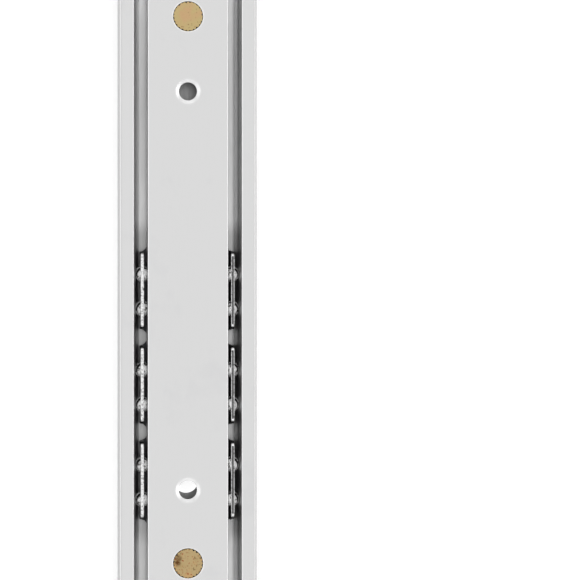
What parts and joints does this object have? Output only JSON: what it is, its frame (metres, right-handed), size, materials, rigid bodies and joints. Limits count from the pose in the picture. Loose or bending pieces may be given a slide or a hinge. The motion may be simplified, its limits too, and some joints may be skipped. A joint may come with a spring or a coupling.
{
  "type": "cabinet drawer slide",
  "caption": "Two-section ball-bearing cabinet drawer slide, shut, with an open-sided outer member, a flat countersunk inner member and a fingered ball retainer.",
  "frame": {"origin": "centre of the slide's box, on the cabinet member's back face", "axes": "+Y along the slide towards the rear of the cabinet, +X across it, +Z out of its open side, away from the cabinet's wall"},
  "size_m": [0.035, 0.2, 0.0095],
  "materials": {
    "zinc_steel": "bright zinc-plated rolled steel",
    "retainer_steel": "black phosphated steel strip, bare and bright on its sheared edges",
    "ball_steel": "lapped bearing steel with a film of grease",
    "brass": "turned brass with a knurled rim",
    "stop_plastic": "moulded acetal",
    "buffer_rubber": "moulded rubber"
  },
  "bodies": {
    "cabinet_side": {"cabinet_member": "zinc_steel", "closing_buffer": "buffer_rubber", "buffer_rivet": "zinc_steel"},
    "drawer_side": {"drawer_member": "zinc_steel", "rear_retainer_stop": "stop_plastic", "front_retainer_stop": "stop_plastic", "rear_knurled_rivet": "brass", "front_knurled_rivet": "brass"},
    "retainer": {"ball_retainer": "retainer_steel"},
    "ball_left_1_body": {"ball_left_1": "ball_steel"},
    "ball_left_2_body": {"ball_left_2": "ball_steel"},
    "ball_left_3_body": {"ball_left_3": "ball_steel"},
    "ball_left_4_body": {"ball_left_4": "ball_steel"},
    "ball_left_5_body": {"ball_left_5": "ball_steel"},
    "ball_left_6_body": {"ball_left_6": "ball_steel"},
    "ball_right_1_body": {"ball_right_1": "ball_steel"},
    "ball_right_2_body": {"ball_right_2": "ball_steel"},
    "ball_right_3_body": {"ball_right_3": "ball_steel"},
    "ball_right_4_body": {"ball_right_4": "ball_steel"},
    "ball_right_5_body": {"ball_right_5": "ball_steel"},
    "ball_right_6_body": {"ball_right_6": "ball_steel"}
  },
  "joints": [
    {"name": "drawer_travel", "type": "slide", "parent": "cabinet_side", "child": "drawer_side", "axis": [0, 1, 0], "range_m": [-0.106, 0]},
    {"name": "retainer_travel", "type": "slide", "parent": "cabinet_side", "child": "retainer", "axis": [0, 1, 0], "range_m": [-0.053, 0]},
    {"name": "ball_left_1_roll", "type": "hinge", "parent": "retainer", "child": "ball_left_1_body", "pos_m": [-0.01135, 0.0218, 0.005], "axis": [0, 0, 1], "continuous": true},
    {"name": "ball_left_2_roll", "type": "hinge", "parent": "retainer", "child": "ball_left_2_body", "pos_m": [-0.01135, 0.013, 0.005], "axis": [0, 0, 1], "continuous": true},
    {"name": "ball_left_3_roll", "type": "hinge", "parent": "retainer", "child": "ball_left_3_body", "pos_m": [-0.01135, -0.0025, 0.005], "axis": [0, 0, 1], "continuous": true},
    {"name": "ball_left_4_roll", "type": "hinge", "parent": "retainer", "child": "ball_left_4_body", "pos_m": [-0.01135, -0.0113, 0.005], "axis": [0, 0, 1], "continuous": true},
    {"name": "ball_left_5_roll", "type": "hinge", "parent": "retainer", "child": "ball_left_5_body", "pos_m": [-0.01135, -0.0266, 0.005], "axis": [0, 0, 1], "continuous": true},
    {"name": "ball_left_6_roll", "type": "hinge", "parent": "retainer", "child": "ball_left_6_body", "pos_m": [-0.01135, -0.0354, 0.005], "axis": [0, 0, 1], "continuous": true},
    {"name": "ball_right_1_roll", "type": "hinge", "parent": "retainer", "child": "ball_right_1_body", "pos_m": [0.01135, 0.0218, 0.005], "axis": [0, 0, 1], "continuous": true},
    {"name": "ball_right_2_roll", "type": "hinge", "parent": "retainer", "child": "ball_right_2_body", "pos_m": [0.01135, 0.013, 0.005], "axis": [0, 0, 1], "continuous": true},
    {"name": "ball_right_3_roll", "type": "hinge", "parent": "retainer", "child": "ball_right_3_body", "pos_m": [0.01135, -0.0025, 0.005], "axis": [0, 0, 1], "continuous": true},
    {"name": "ball_right_4_roll", "type": "hinge", "parent": "retainer", "child": "ball_right_4_body", "pos_m": [0.01135, -0.0113, 0.005], "axis": [0, 0, 1], "continuous": true},
    {"name": "ball_right_5_roll", "type": "hinge", "parent": "retainer", "child": "ball_right_5_body", "pos_m": [0.01135, -0.0266, 0.005], "axis": [0, 0, 1], "continuous": true},
    {"name": "ball_right_6_roll", "type": "hinge", "parent": "retainer", "child": "ball_right_6_body", "pos_m": [0.01135, -0.0354, 0.005], "axis": [0, 0, 1], "continuous": true}
  ],
  "couplings": [
    {"joint": "retainer_travel", "follows": "drawer_travel", "ratio": 0.5},
    {"joint": "ball_left_1_roll", "follows": "drawer_travel", "rad_per_m": 250},
    {"joint": "ball_left_2_roll", "follows": "drawer_travel", "rad_per_m": 250},
    {"joint": "ball_left_3_roll", "follows": "drawer_travel", "rad_per_m": 250},
    {"joint": "ball_left_4_roll", "follows": "drawer_travel", "rad_per_m": 250},
    {"joint": "ball_left_5_roll", "follows": "drawer_travel", "rad_per_m": 250},
    {"joint": "ball_left_6_roll", "follows": "drawer_travel", "rad_per_m": 250},
    {"joint": "ball_right_1_roll", "follows": "drawer_travel", "rad_per_m": -250},
    {"joint": "ball_right_2_roll", "follows": "drawer_travel", "rad_per_m": -250},
    {"joint": "ball_right_3_roll", "follows": "drawer_travel", "rad_per_m": -250},
    {"joint": "ball_right_4_roll", "follows": "drawer_travel", "rad_per_m": -250},
    {"joint": "ball_right_5_roll", "follows": "drawer_travel", "rad_per_m": -250},
    {"joint": "ball_right_6_roll", "follows": "drawer_travel", "rad_per_m": -250}
  ]
}
